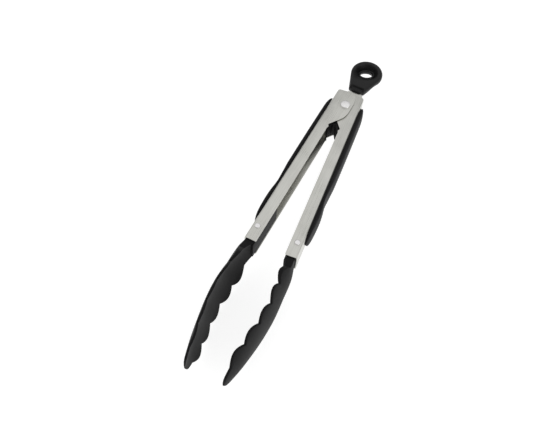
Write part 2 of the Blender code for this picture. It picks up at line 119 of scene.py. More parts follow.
# Grips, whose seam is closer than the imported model's gaps
SEAM = 0.06 * MM
GRIP_TOP = 6.0 * MM
GRIP_END = -113.4 * MM
GRIP_BASE = 1.2 * MM
GRIP_HALF = 6.9 * MM
GRIP_OUT = 14.1 * MM
GRIP_TOP_ROUND = 13 * MM
GRIP_END_ROUND = 9 * MM
GRIP_THINNING = 6 * MM
BACKING_INSET = 0.5 * MM
STUD_PLACES = (-36.0 * MM, -64.0 * MM, -92.0 * MM)
STUD_RADIUS = 1.6 * MM
STUD_END = 8.6 * MM
STUD_WASHER = 3.4 * MM
STUD_WASHER_HEIGHT = 0.5 * MM

# Lock
PLATE = 0.6 * MM
LOCK_STROKE = 7.5 * MM
TONGUE_HALF = 5.7 * MM
TONGUE_END = 32.5 * MM
WING_OUTER = -9.5 * MM
WING_INNER = 8.6 * MM
WING_TOP = 3.3 * MM
WING_END = -4.5 * MM
STEM_HALF = 3.7 * MM
STEM_END = -17.0 * MM
BLOCK_HALF = 4.4 * MM
BLOCK_HEIGHT = 5.9 * MM
BLOCK_TOP = -13.0 * MM
BLOCK_FORK = -18.3 * MM
BLOCK_END = -21.6 * MM
TANG_HALF = 4.2 * MM
TANG_START = 20.2 * MM
TAB_SIDE = -0.5 * MM
TAB_CENTRE = 42.2 * MM
TAB_RADIUS = 11.8 * MM
TAB_HALF_THICK = 3.0 * MM
TAB_ROUND = 2.6 * MM
TAB_NECK_HALF = 6.3 * MM
TAB_NECK_Y = 23.3 * MM
TAB_END = 20.5 * MM
HOLE_CENTRE = 41.4 * MM
HOLE_RING = 5.3 * MM
HOLE_BEAD = 1.1 * MM
HOLE_BEAD_HEIGHT = 1.9 * MM


# ---------------------------------------------------------------- materials

def wire_up(tree, source, target):
    tree.links.new(source, target)


def node(tree, kind, **values):
    """A shader node, with its properties and its input sockets set by name."""
    made = tree.nodes.new("ShaderNode" + kind)
    for name, value in values.items():
        socket = name.replace("_", " ")
        if socket in made.inputs:
            made.inputs[socket].default_value = value
        else:
            setattr(made, name, value)
    return made


def grained(name, colours, roughness, metallic, stretch, turn, bump, depth, mottle=60.0):
    """A surface whose grain is a noise stretched by `stretch`, turned about the Z axis."""
    made = bpy.data.materials.new(name)
    made.use_nodes = True
    tree = made.node_tree
    shader = tree.nodes["Principled BSDF"]
    shader.inputs["Metallic"].default_value = metallic
    place_at = node(tree, "TexCoord").outputs["Object"]
    unturn = node(tree, "Mapping", Rotation=(0.0, 0.0, -turn))
    wire_up(tree, place_at, unturn.inputs["Vector"])
    along = node(tree, "Mapping", Scale=stretch)
    wire_up(tree, unturn.outputs["Vector"], along.inputs["Vector"])
    grain = node(tree, "TexNoise", Scale=1.0, Detail=3.0, Roughness=0.6)
    wire_up(tree, along.outputs["Vector"], grain.inputs["Vector"])
    cloud = node(tree, "TexNoise", Scale=mottle, Detail=2.0, Roughness=0.5)
    wire_up(tree, place_at, cloud.inputs["Vector"])
    blend = node(tree, "Math", operation="ADD")
    wire_up(tree, grain.outputs["Fac"], blend.inputs[0])
    wire_up(tree, cloud.outputs["Fac"], blend.inputs[1])
    tint = node(tree, "ValToRGB")
    tint.color_ramp.elements[0].position = 0.35
    tint.color_ramp.elements[0].color = (*colours[0], 1.0)
    tint.color_ramp.elements[1].position = 0.65
    tint.color_ramp.elements[1].color = (*colours[1], 1.0)
    half = node(tree, "Math", operation="MULTIPLY")
    half.inputs[1].default_value = 0.5
    wire_up(tree, blend.outputs[0], half.inputs[0])
    wire_up(tree, half.outputs[0], tint.inputs["Fac"])
    wire_up(tree, tint.outputs["Color"], shader.inputs["Base Color"])
    polish = node(tree, "MapRange", From_Min=0.3, From_Max=0.7,
                  To_Min=roughness[0], To_Max=roughness[1])
    wire_up(tree, half.outputs[0], polish.inputs["Value"])
    wire_up(tree, polish.outputs["Result"], shader.inputs["Roughness"])
    relief = node(tree, "Bump", Strength=bump, Distance=depth)
    wire_up(tree, grain.outputs["Fac"], relief.inputs["Height"])
    wire_up(tree, relief.outputs["Normal"], shader.inputs["Normal"])
    return made


def brushed_steel(name, turn):
    return grained(name, ((0.52, 0.518, 0.485), (0.68, 0.677, 0.64)), (0.24, 0.36), 1.0,
                   (3200.0, 70.0, 3200.0), turn, 0.25, 0.02 * MM)


def bright_steel(name):
    return grained(name, ((0.80, 0.79, 0.79), (0.90, 0.89, 0.89)), (0.16, 0.26), 1.0,
                   (900.0, 900.0, 900.0), 0.0, 0.12, 0.01 * MM, 200.0)


def plain_steel(name, low=0.40, high=0.55):
    return grained(name, ((low, low, low), (high, high, high)), (0.28, 0.42), 1.0,
                   (1200.0, 1200.0, 1200.0), 0.0, 0.2, 0.02 * MM, 150.0)


def set_shine(surface, level):
    shader = surface.node_tree.nodes["Principled BSDF"]
    shader.inputs["Specular IOR Level"].default_value = level


def nylon(name, dark=0.004, light=0.007, roughness=(0.60, 0.72), shine=0.22):
    made = grained(name, ((dark, dark, dark * 1.05), (light, light, light * 1.05)), roughness,
                   0.0, (1500.0, 1500.0, 1500.0), 0.0, 0.35, 0.03 * MM, 45.0)
    set_shine(made, shine)
    return made


def rubber(name, turn):
    made = grained(name, ((0.008, 0.008, 0.009), (0.014, 0.014, 0.015)), (0.55, 0.70), 0.0,
                   (900.0, 60.0, 900.0), turn, 0.4, 0.05 * MM, 60.0)
    set_shine(made, 0.2)
    return made


# ---------------------------------------------------------------- placing pieces

def place(side, turn=None):
    """The arm frame's place in the world; the outer arm's is mirrored, as its x runs to -X."""
    angle = side * HALF_ANGLE if turn is None else turn
    return (Matrix.Translation(PIVOT) @ Matrix.Rotation(angle, 4, "Z")
            @ Matrix.Diagonal((side, 1, 1, 1)))


def finished(shape):
    """The mesh of a closed form, with its faces pointing out."""
    bmesh.ops.recalc_face_normals(shape, faces=shape.faces)
    if shape.calc_volume(signed=True) < 0:
        bmesh.ops.reverse_faces(shape, faces=shape.faces)
    mesh = bpy.data.meshes.new("form")
    shape.to_mesh(mesh)
    shape.free()
    return mesh


def piece(name, mesh, at, body, surface, stands_for, sharp=35.0):
    """A mesh in its frame becomes a named piece that rides on a body of the model."""
    mesh.transform(at)
    if at.determinant() < 0:
        mesh.flip_normals()
    mesh.materials.append(surface)
    mesh.shade_smooth()
    mesh.set_sharp_from_angle(angle=math.radians(sharp))
    made = bpy.data.objects.new(name, mesh)
    bpy.context.scene.collection.objects.link(made)
    if body is not None:
        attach(made, body)
    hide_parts(*stands_for)
    return made


def rounded(made, width, segments=3, angle=40.0):
    soften = made.modifiers.new("Rounded edges", "BEVEL")
    soften.width = width
    soften.segments = segments
    soften.limit_method = "ANGLE"
    soften.angle_limit = math.radians(angle)
    soften.harden_normals = False
    return soften


# ---------------------------------------------------------------- forms

def arc(centre, radius, start, end, steps):
    """Points on a circle, with the angles in degrees."""
    turn = [math.radians(start + (end - start) * k / steps) for k in range(steps + 1)]
    return [(centre[0] + radius * math.cos(a), centre[1] + radius * math.sin(a)) for a in turn]


def smooth(table, at):
    """A smooth curve through (place, value) pairs whose places run downward."""
    places = [p for p, _ in table]
    values = [v for _, v in table]
    last = len(table) - 1
    k = max(0, min(last - 1, sum(1 for p in places[1:-1] if p > at)))
    slope = [
        (values[min(j + 1, last)] - values[max(j - 1, 0)])
        / (places[min(j + 1, last)] - places[max(j - 1, 0)])
        for j in (k, k + 1)
    ]
    span = places[k + 1] - places[k]
    t = min(1.0, max(0.0, (at - places[k]) / span))
    return (
        (2 * t**3 - 3 * t**2 + 1) * values[k]
        + (t**3 - 2 * t**2 + t) * span * slope[0]
        + (3 * t**2 - 2 * t**3) * values[k + 1]
        + (t**3 - t**2) * span * slope[1]
    )


def step_up(low, high, at):
    """0 below low and 1 above high, with an eased ramp between them."""
    t = min(1.0, max(0.0, (at - low) / (high - low)))
    return t * t * (3 - 2 * t)


def prism(outline, low, high):
    """A flat outline in x and y, from one height to another."""
    shape = bmesh.new()
    face = shape.faces.new([shape.verts.new((x, y, low)) for x, y in outline])
    grown = bmesh.ops.extrude_face_region(shape, geom=[face])["geom"]
    moved = [v for v in grown if isinstance(v, bmesh.types.BMVert)]
    bmesh.ops.translate(shape, verts=moved, vec=(0, 0, high - low))
    return finished(shape)


def loft(loops, caps=True, ring=False):
    """Closed loops of equal length, joined one to the next; `ring` joins the last to the first."""
    shape = bmesh.new()
    rings = [[shape.verts.new(p) for p in loop] for loop in loops]
    count = len(rings[0])
    pairs = list(zip(rings, rings[1:])) + ([(rings[-1], rings[0])] if ring else [])
    for first, second in pairs:
        for k in range(count):
            after = (k + 1) % count
            shape.faces.new((first[k], first[after], second[after], second[k]))
    if caps and not ring:
        shape.faces.new(rings[0])
        shape.faces.new(reversed(rings[-1]))
    return finished(shape)


def turned(profile, steps=64):
    """A solid of revolution about Z; the profile's ends lie on the axis or it closes on itself."""
    shape = bmesh.new()
    on_axis = profile[0][0] == 0.0
    rings = []
    for radius, height in profile:
        if radius == 0.0:
            rings.append([shape.verts.new((0.0, 0.0, height))])
            continue
        angles = [2 * math.pi * k / steps for k in range(steps)]
        rings.append([shape.verts.new((radius * math.cos(a), radius * math.sin(a), height))
                      for a in angles])
    pairs = list(zip(rings, rings[1:])) + ([] if on_axis else [(rings[-1], rings[0])])
    for first, second in pairs:
        for k in range(steps):
            after = (k + 1) % steps
            corners = [first[k % len(first)], first[after % len(first)],
                       second[after % len(second)], second[k % len(second)]]
            shape.faces.new(list(dict.fromkeys(corners)))
    return finished(shape)


def edged(profile, radius):
    """Eases the corners of a closed profile by a small quarter turn."""
    eased = []
    count = len(profile)
    for k, corner in enumerate(profile):
        here = Vector(corner)
        before = Vector(profile[k - 1]) - here
        after = Vector(profile[(k + 1) % count]) - here
        first = here + before.normalized() * radius
        last = here + after.normalized() * radius
        for t in (0.0, 0.33, 0.67, 1.0):
            point = (1 - t) ** 2 * first + 2 * t * (1 - t) * here + t**2 * last
            eased.append((point.x, point.y))
    return eased


# ---------------------------------------------------------------- steel channels

def unfolded(x, half_height):
    """Where a point of the flange lies on the flat sheet, from the middle of the web."""
    flat = half_height - BEND_RADIUS
    centre = WEB_OUT - BEND_RADIUS
    if x <= centre:
        return flat + math.pi / 2 * BEND_RADIUS + centre - x
    return flat + BEND_RADIUS * math.acos((x - centre) / BEND_RADIUS)


def folded(s, half_height):
    """The place in x and z of a point of the flat sheet once its two flanges are bent."""
    flat = half_height - BEND_RADIUS
    centre = WEB_OUT - BEND_RADIUS
    reach = abs(s)
    if reach <= flat:
        return WEB_OUT, s
    turn = min((reach - flat) / BEND_RADIUS, math.pi / 2)
    beyond = reach - flat - math.pi / 2 * BEND_RADIUS
    x = centre + BEND_RADIUS * math.cos(turn) - max(0.0, beyond)
    return x, math.copysign(flat + BEND_RADIUS * math.sin(turn), s)


def sheet_outline(half_height):
    """Half of the flat sheet's outline, from the web's top edge round the ear to its foot."""
    corner = 2.3 * MM
    fillet = 0.6 * MM
    window = half_height - 2 * SHEET
    outline = [(0.0, WEB_TOP), (window - fillet, WEB_TOP)]
    outline += arc((window - fillet, WEB_TOP + fillet), fillet, -60, 0, 4)
    flange = arc((WEB_OUT - corner, EAR_TOP - 0.7 * MM - corner), corner, 0, 80, 14)
    flange += [(3.0 * MM, EAR_TOP)]
    flange += arc((-0.5 * MM, EAR_TOP - corner), corner, 90, 155, 12)
    flange += [(-3.7 * MM, 9.3 * MM), (-4.4 * MM, 6.8 * MM), (-4.8 * MM, 4.0 * MM)]
    flange += [(EAR_REACH, 1.0 * MM), (EAR_REACH, -4.2 * MM)]
    flange += arc((EAR_REACH + 18.0 * MM, -4.2 * MM), 18.0 * MM, 183, 207, 12)
    flange += [(2.9 * MM, -21.1 * MM), (3.1 * MM, -21.9 * MM), (2.2 * MM, -23.4 * MM),
               (FLANGE_EDGE, -24.8 * MM), (FLANGE_EDGE, ARM_END + 1.0 * MM)]
    flange += arc((FLANGE_EDGE + 1.0 * MM, ARM_END + 1.0 * MM), 1.0 * MM, 195, 270, 5)
    outline += [(unfolded(x, half_height), y) for x, y in flange]
    return outline + [(0.0, ARM_END)]


def channel_mesh(half_height):
    half = sheet_outline(half_height)
    shape = bmesh.new()
    loop = half + [(-s, y) for s, y in reversed(half[1:-1])]
    shape.faces.new([shape.verts.new((s, y, 0.0)) for s, y in loop])
    flat = half_height - BEND_RADIUS
    steps = 8
    for sign in (1, -1):
        for k in range(steps + 1):
            s = sign * (flat + math.pi / 2 * BEND_RADIUS * k / steps)
            everything = shape.verts[:] + shape.edges[:] + shape.faces[:]
            bmesh.ops.bisect_plane(shape, geom=everything, dist=1e-6,
                                   plane_co=(s, 0, 0), plane_no=(1, 0, 0))
    for vertex in shape.verts:
        x, z = folded(vertex.co.x, half_height)
        vertex.co = (x, vertex.co.y, z)
    shape.normal_update()
    web = max(shape.faces, key=lambda face: face.calc_area() * abs(face.normal.x))
    if web.normal.x < 0:
        bmesh.ops.reverse_faces(shape, faces=shape.faces)
    mesh = bpy.data.meshes.new("channel")
    shape.to_mesh(mesh)
    shape.free()
    return mesh


def channel(side, surface):
    arm = ARMS[side]
    made = piece(f"{arm}_channel", channel_mesh(HALF_HEIGHT[side]), place(side), f"{arm}_arm",
                 surface, [f"{arm}_arm_channel"])
    thicken = made.modifiers.new("Sheet", "SOLIDIFY")
    thicken.thickness = SHEET
    thicken.offset = -1.0
    thicken.use_even_offset = True
    rounded(made, 0.2 * MM, 3, 60.0)


# ---------------------------------------------------------------- grips

def grip_height(y):
    """How far the crown of the grip stands from the pivot axis: flat, with a thumb dip."""
    table = [
        (GRIP_TOP, WEB_OUT + 1.9 * MM), (2 * MM, 13.4 * MM), (-4 * MM, GRIP_OUT),
        (-62 * MM, GRIP_OUT), (-72 * MM, 13.4 * MM), (-80.5 * MM, 12.9 * MM),
        (-88 * MM, 13.8 * MM), (-94 * MM, GRIP_OUT), (-102 * MM, 13.8 * MM),
        (-109 * MM, 13.1 * MM), (GRIP_END, 12.5 * MM),
    ]
    return smooth(table, y)


def grip_width(y):
    """Half the width of the grip: full along the arm, drawn in round at both ends."""
    near = min(1.0, (GRIP_TOP - y) / GRIP_TOP_ROUND, (y - GRIP_END) / GRIP_END_ROUND)
    return GRIP_HALF * (0.25 + 0.75 * math.sqrt(max(0.0, 1 - (1 - near) ** 2)))


def grip_taper(y):
    """The share of its thickness that the grip has kept as it thins out at both ends."""
    near = min(1.0, (GRIP_TOP - y) / GRIP_THINNING, (y - GRIP_END) / GRIP_THINNING)
    return 0.3 + 0.7 * math.sqrt(max(0.0, 1 - (1 - near) ** 2))


def grip_places():
    """Places along the grip, close together at its round ends."""
    ends = [GRIP_END_ROUND * (k / 14) ** 2 for k in range(15)]
    top = [GRIP_TOP - e for e in ends]
    end = [GRIP_END + e for e in reversed(ends)]
    count = 60
    span = top[-1] - end[0]
    return top + [top[-1] - span * k / count for k in range(1, count)] + end


def grip_loop(y, end_ease):
    """The pad's section: a flat floor, short sides and a crowned face with eased corners."""
    floor = WEB_OUT + 2 * SEAM + GRIP_BASE * grip_taper(y)
    half = grip_width(y) * end_ease
    full = WEB_OUT + 2 * SEAM + GRIP_BASE
    crown = floor + 0.2 * MM + max(0.0, grip_height(y) - full) * end_ease
    edge = floor + 0.4 * (crown - floor)
    ease = 0.25 * MM * end_ease
    loop = [(floor, -half + ease), (floor + ease, -half), (edge, -half)]
    loop += [(edge + (crown - edge) * math.cos(math.radians(a)) ** 0.8,
              half * math.sin(math.radians(a))) for a in range(-85, 86, 10)]
    return loop + [(edge, half), (floor + ease, half), (floor, half - ease)]


def grip_skin(side, surface):
    arm = ARMS[side]
    loops = []
    for y in grip_places():
        near = min(GRIP_TOP - y, y - GRIP_END) / (1.2 * MM)
        ease = math.sqrt(max(0.05, 1 - (1 - min(1.0, near)) ** 2))
        loops.append([(x, y, z) for x, z in grip_loop(y, 0.55 + 0.45 * ease)])
    piece(f"{arm}_grip", loft(loops), place(side), f"{arm}_arm", surface,
          [f"{arm}_grip_skin"], 50.0)


def grip_base(side, surface):
    arm = ARMS[side]
    low = WEB_OUT + SEAM
    loops = []
    for y in grip_places():
        half = grip_width(y) - BACKING_INSET
        high = low + GRIP_BASE * grip_taper(y)
        section = edged([(low, -half), (high, -half), (high, half), (low, half)], 0.12 * MM)
        loops.append([(x, y, z) for x, z in section])
    shape = bmesh.new()
    shape.from_mesh(loft(loops))
    for y in STUD_PLACES:
        stud = turned(edged([(0.05 * MM, low + 0.3 * MM), (STUD_RADIUS, low + 0.3 * MM),
                             (STUD_RADIUS, STUD_END), (0.05 * MM, STUD_END)], 0.04 * MM), 32)
        stud.transform(Matrix.Translation((0, y, 0)) @ Matrix.Rotation(math.pi / 2, 4, "Y"))
        shape.from_mesh(stud)
    mesh = bpy.data.meshes.new("grip_base")
    shape.to_mesh(mesh)
    shape.free()
    piece(f"{arm}_grip_backing", mesh, place(side), f"{arm}_arm", surface,
          [f"{arm}_grip_base"])


def grip_washers(side, surface):
    arm = ARMS[side]
    high = WEB_IN - GAP
    low = high - STUD_WASHER_HEIGHT
    inside = STUD_RADIUS + GAP
    for number, y in enumerate(STUD_PLACES, 1):
        mesh = turned(edged([(inside, high), (STUD_WASHER, high), (STUD_WASHER, low),
                             (inside, low)], 0.1 * MM), 48)
        mesh.transform(Matrix.Translation((0, y, 0)) @ Matrix.Rotation(math.pi / 2, 4, "Y"))
        piece(f"{arm}_stud_washer_{number}", mesh, place(side), f"{arm}_arm",
              surface, [f"{arm}_grip_washer_{number}"])


# ---------------------------------------------------------------- heads

def head_back(y):
    table = [
        (NECK_Y, 9.6 * MM), (-140 * MM, 11.6 * MM), (-153 * MM, 11.6 * MM),
        (-166 * MM, 11.3 * MM), (-179 * MM, 9.8 * MM), (-192 * MM, 7.6 * MM),
        (-204 * MM, 5.2 * MM), (-212 * MM, 2.8 * MM), (TIP_Y, 1.0 * MM),
    ]
    return smooth(table, y)


def head_width(y, neck):
    """Half the width of the head at the cusps of its edge."""
    table = [
        (NECK_Y, neck), (-138.3 * MM, 11.0 * MM), (-152.6 * MM, 16.0 * MM),
        (-166.9 * MM, 17.0 * MM), (-181.2 * MM, 17.1 * MM), (-195.5 * MM, 15.9 * MM),
        (-209.8 * MM, 11.4 * MM), (-214.5 * MM, 8.2 * MM), (TIP_Y, 4.6 * MM),
    ]
    return smooth(table, y)


def head_lip(y):
    """Where the hollow side of the head stands at the cusps of its edge."""
    table = [
        (NECK_Y, 3.1 * MM), (-138.3 * MM, 5.8 * MM), (-152.6 * MM, 6.9 * MM),
        (-166.9 * MM, 7.4 * MM), (-181.2 * MM, 5.9 * MM), (-195.5 * MM, 3.2 * MM),
        (-209.8 * MM, 0.5 * MM), (-214 * MM, -0.2 * MM), (TIP_Y, -0.8 * MM),
    ]
    return smooth(table, y)


def head_scallop(y):
    """How far the scalloped edge stands out beyond the line through its cusps."""
    along = (SCALLOP_START - y) / SCALLOP_PITCH
    if not 0 <= along <= SCALLOPS:
        return 0.0
    return SCALLOP_DEPTH * max(0.0, math.sin(math.pi * (along % 1.0))) ** 0.85


def head_sway(y):
    """How far both heads lean towards -X, from nothing at the neck to all of it at the tip."""
    return HEAD_SWAY * ((ARM_END - y) / (ARM_END - TIP_Y)) ** 2


def head_loop(y, side, neck):
    """One slice of the scoop, a dished blade with rounded edges: its back, then its hollow."""
    fade = min(1.0, max(0.0, (NECK_Y - y) / HEAD_FADE))
    cusp = max(head_width(y, neck) - (INNER_HEAD_TRIM * fade if side > 0 else 0.0), 1.5 * MM)
    half = cusp + head_scallop(y)
    lip = head_lip(y) - side * head_sway(y)
    back = max(head_back(y) - side * head_sway(y), lip + HEAD_WALL)
    drop = (back - lip - HEAD_WALL) * fade
    wall = back - lip - drop
    ease = EDGE_ROUND * (0.3 + 0.7 * fade)

    def surface(z):
        beyond = max(0.0, abs(z) - cusp) / SCALLOP_DEPTH
        return back - drop * (z / cusp) ** 2 - SCALLOP_CURL * beyond

    count = 24
    flat = [(half - ease) * (2 * k / count - 1) for k in range(count + 1)]
    turns = [math.pi / 2 * k / 4 for k in range(1, 5)]
    outer_edge = [(half - ease + ease * math.sin(a), ease - ease * math.cos(a)) for a in turns]
    inner_edge = [(z, wall - sunk) for z, sunk in reversed(outer_edge)]
    loop = [(surface(z), z) for z in flat]
    loop += [(surface(z) - sunk, z) for z, sunk in outer_edge + inner_edge]
    loop += [(surface(z) - wall, z) for z in reversed(flat)]
    loop += [(surface(z) - sunk, -z) for z, sunk in reversed(outer_edge + inner_edge)]
    return loop


def head_places():
    """Slices along the head, with one on each cusp and close together at the tip."""
    neck = [ARM_END - GAP - 9 * MM * k / 12 for k in range(12)]
    per = 22
    scallops = [SCALLOP_START - SCALLOP_PITCH * k / per for k in range(SCALLOPS * per + 1)]
    left = scallops[-1] - TIP_Y
    tip = [TIP_Y + left * (1 - k / 26) ** 2 for k in range(1, 26)]
    return neck + scallops + tip + [TIP_Y]


def head_mesh(side, neck):
    loops = []
    for y in head_places():
        loop = head_loop(y, side, neck)
        ease = 1 - min(1.0, (y - TIP_Y) / TIP_ROUND)
        shrink = max(0.05, math.sqrt(1 - ease**2))
        middle = (head_lip(y) + head_back(y)) / 2 - side * head_sway(y)
        loops.append([(middle + (x - middle) * shrink, y, z * shrink) for x, z in loop])
    return loft(loops)


def tang(neck):
    """The plain end of the head inside its channel."""
    high = WEB_IN - GAP
    section = edged([(TANG_IN, -neck), (high, -neck), (high, neck), (TANG_IN, neck)], 0.6 * MM)
    places = (ARM_END - 3 * MM, ARM_END, TANG_TOP + 0.5 * MM, TANG_TOP)
    scale = (1.0, 1.0, 1.0, 0.95)
    middle = (TANG_IN + high) / 2
    return loft([[(middle + (x - middle) * s, y, z * s) for x, z in section]
                 for y, s in zip(places, scale)])


def head(side, surface):
    arm = ARMS[side]
    neck = HALF_HEIGHT[side] - SHEET - GAP
    shape = bmesh.new()
    shape.from_mesh(head_mesh(side, neck))
    shape.from_mesh(tang(neck))
    mesh = bpy.data.meshes.new("head")
    shape.to_mesh(mesh)
    shape.free()
    piece(f"{arm}_scoop", mesh, place(side), f"{arm}_arm", surface,
          [f"{arm}_head"], 40.0)


# ---------------------------------------------------------------- rivets, washer, bushes

def dome(radius, height, base, steps=14):
    """A low dome on a short upright side, from its middle to its foot, as (radius, height)."""
    side = 0.45 * height
    turns = [math.pi / 2 * k / steps for k in range(steps + 1)]
    crown = [(radius * math.sin(a), base + side + (height - side) * math.cos(a) ** 0.7)
             for a in turns[:-1]]
    return crown + [(radius, base + side), (radius, base)]


def rivet_mesh(shank, radius, rise, top, bottom, dimple=0.0):
    upper = dome(radius, rise, top)
    if dimple:
        upper = [(r, z - 0.12 * MM * max(0.0, 1 - (r / dimple) ** 2)) for r, z in upper]
    lower = [(r, -z) for r, z in reversed(dome(radius, rise, -bottom))]
    upper[0] = (0.0, upper[0][1])
    lower[-1] = (0.0, lower[-1][1])
    return turned(upper + [(shank, top - 0.05 * MM), (shank, bottom + 0.05 * MM)] + lower)


def head_rivet(side, surface):
    arm = ARMS[side]
    half = HALF_HEIGHT[side]
    mesh = rivet_mesh(HEAD_RIVET_SHANK, HEAD_RIVET_RADIUS, HEAD_RIVET_DOME, half, -half,
                      HEAD_RIVET_DIMPLE)
    mesh.transform(Matrix.Translation((HEAD_RIVET_X, HEAD_RIVET_Y, 0)))
    piece(f"{arm}_neck_rivet", mesh, place(side), f"{arm}_arm", surface,
          [f"{arm}_head_rivet"])


def pivot_parts(bright, black):
    at = Matrix.Translation(PIVOT)
    half = HALF_HEIGHT[OUTER]
    under = -half - GAP - WASHER_HEIGHT
    piece("pivot_pin", rivet_mesh(RIVET_SHANK, RIVET_HEAD, RIVET_DOME, half, under), at,
          "outer_arm", bright, ["pivot_rivet"])
    ring = edged([(RIVET_SHANK + GAP, -half - GAP), (WASHER_RADIUS, -half - GAP),
                  (WASHER_RADIUS, under), (RIVET_SHANK + GAP, under)], 0.12 * MM)
    piece("pivot_ring", turned(ring), at, "outer_arm", bright, ["pivot_washer"])
    for name, low, high in (("upper", BUSH_START, BUSH_END), ("lower", -BUSH_END, -BUSH_START)):
        tube = edged([(RIVET_SHANK + GAP, high), (BUSH_RADIUS, high), (BUSH_RADIUS, low),
                      (RIVET_SHANK + GAP, low)], 0.15 * MM)
        piece(f"{name}_bush", turned(tube, 48), at, "outer_arm", black,
              [f"{name}_spring_bush"])


# ---------------------------------------------------------------- spring

def arm_point(side, x, y):
    """A place in an arm's frame, as seen from the pivot with the arms at rest."""
    turn = side * HALF_ANGLE
    return (side * x * math.cos(turn) - y * math.sin(turn),
            side * x * math.sin(turn) + y * math.cos(turn))


def leg(side, height):
    """A spring leg, from the coil down to where it bears on the inside of the web."""
    rest = WEB_IN - GAP - WIRE
    table = [(0.0, COIL_RADIUS), (-3 * MM, 4.4 * MM), (-9 * MM, 7.0 * MM),
             (-15 * MM, rest - 0.3 * MM), (-21 * MM, rest), (LEG_END, rest)]
    places = [-0.5 * MM * k for k in range(1, int(-LEG_END / (0.5 * MM)) + 1)]
    return [(*arm_point(side, smooth(table, y), y), height) for y in places]


def coil(high, low):
    """The turns between the inner arm's leg and the outer arm's leg."""
    steps = 120
    points = []
    for k in range(steps + 1):
        angle = 2 * math.pi * COIL_TURNS * k / steps + HALF_ANGLE * (1 - 2 * k / steps)
        points.append((COIL_RADIUS * math.cos(angle), COIL_RADIUS * math.sin(angle),
                       high + (low - high) * k / steps))
    return points


def torsion_spring(surface):
    upper = list(reversed(leg(1, COIL_HIGH))) + coil(COIL_HIGH, COIL_LOW) + leg(-1, COIL_LOW)
    path = upper + [(x, y, -z) for x, y, z in reversed(upper)]
    curve = bpy.data.curves.new("spring_line", "CURVE")
    curve.dimensions = "3D"
    curve.bevel_depth = WIRE
    curve.bevel_resolution = 4
    curve.use_fill_caps = True
    line = curve.splines.new("POLY")
    line.points.add(len(path) - 1)
    for point, where in zip(line.points, path):
        point.co = (*where, 1.0)
    guide = bpy.data.objects.new("spring_line", curve)
    bpy.context.scene.collection.objects.link(guide)
    bpy.context.view_layer.update()
    seen = guide.evaluated_get(bpy.context.evaluated_depsgraph_get())
    mesh = bpy.data.meshes.new_from_object(seen)
    bpy.data.objects.remove(guide)
    shape = bmesh.new()
    shape.from_mesh(mesh)
    bmesh.ops.remove_doubles(shape, verts=shape.verts, dist=1e-6)
    wire = piece("spring_wire", finished(shape), Matrix.Translation(PIVOT), None,
                 surface, ["torsion_spring"])
    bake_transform(wire)


# ---------------------------------------------------------------- lock

def lock_plate(at, surface):
    round_end = RIVET_SHANK + GAP
    outline = [(TONGUE_HALF, TANG_START), (TANG_HALF, TANG_START), (TANG_HALF, TONGUE_END),
               (-TANG_HALF, TONGUE_END), (-TANG_HALF, TANG_START),
               (-TONGUE_HALF, TANG_START), (-TONGUE_HALF, WING_TOP),
               (WING_OUTER, WING_TOP), (WING_OUTER, WING_END), (-STEM_HALF, WING_END),
               (-STEM_HALF, STEM_END)]
    slot = arc((0, 0), round_end, 180, 0, 24) + arc((0, -LOCK_STROKE), round_end, 0, -180, 24)
    right = [(STEM_HALF, STEM_END), (STEM_HALF, WING_END), (WING_INNER, WING_END),
             (TONGUE_HALF, WING_TOP)]
    shape = bmesh.new()
    outer = [shape.verts.new((x, y, 0)) for x, y in outline + right]
    inner = [shape.verts.new((x, y, 0)) for x, y in slot]
    edges = [shape.edges.new((ring[k - 1], ring[k])) for ring in (outer, inner)
             for k in range(len(ring))]
    bmesh.ops.triangle_fill(shape, edges=edges, use_beauty=True)
    bmesh.ops.dissolve_limit(shape, angle_limit=0.01, verts=shape.verts, edges=shape.edges)
    grown = bmesh.ops.extrude_face_region(shape, geom=shape.faces[:])["geom"]
    moved = [v for v in grown if isinstance(v, bmesh.types.BMVert)]
    bmesh.ops.translate(shape, verts=moved, vec=(0, 0, 2 * PLATE))
    bmesh.ops.translate(shape, verts=shape.verts, vec=(0, 0, -PLATE))
    made = piece("lock_strip", finished(shape), at, "lock", surface,
                 ["lock_slide"])
    rounded(made, 0.15 * MM, 2, 50.0)


def lock_block(at, surface):
    corner = 1.6 * MM
    outline = [
        (BLOCK_HALF - corner, BLOCK_TOP), (-BLOCK_HALF + corner, BLOCK_TOP),
        (-BLOCK_HALF, BLOCK_TOP - corner), (-BLOCK_HALF, BLOCK_END),
        (-BLOCK_HALF + corner, BLOCK_END), (-corner / 2, BLOCK_FORK),
        (corner / 2, BLOCK_FORK), (BLOCK_HALF - corner, BLOCK_END),
        (BLOCK_HALF, BLOCK_END), (BLOCK_HALF, BLOCK_TOP - corner),
    ]
    made = piece("lock_wedge", prism(outline, -BLOCK_HEIGHT, BLOCK_HEIGHT), at, "lock",
                 surface, ["lock_block"])
    rounded(made, 0.35 * MM)


def tab_outline():
    """A ring end drawn down to a narrow neck with a bowed end, seen from the hole's middle."""
    drop = TAB_CENTRE - TAB_NECK_Y
    lean = math.degrees(math.asin((TAB_RADIUS - TAB_NECK_HALF) / drop))
    soft = 1.8 * MM
    outline = arc((0, 0), TAB_RADIUS, -lean, 180 + lean, 90)
    outline += arc((-TAB_NECK_HALF + soft, -drop + 0.6 * MM), soft, 180 + lean, 235, 8)
    outline += [(x * MM, TAB_END - TAB_CENTRE + 0.045 * x * x * MM) for x in range(-3, 4)]
    outline += arc((TAB_NECK_HALF - soft, -drop + 0.6 * MM), soft, 305, 360 - lean, 8)
    return [Vector((x, y + TAB_CENTRE - HOLE_CENTRE)) for x, y in outline]


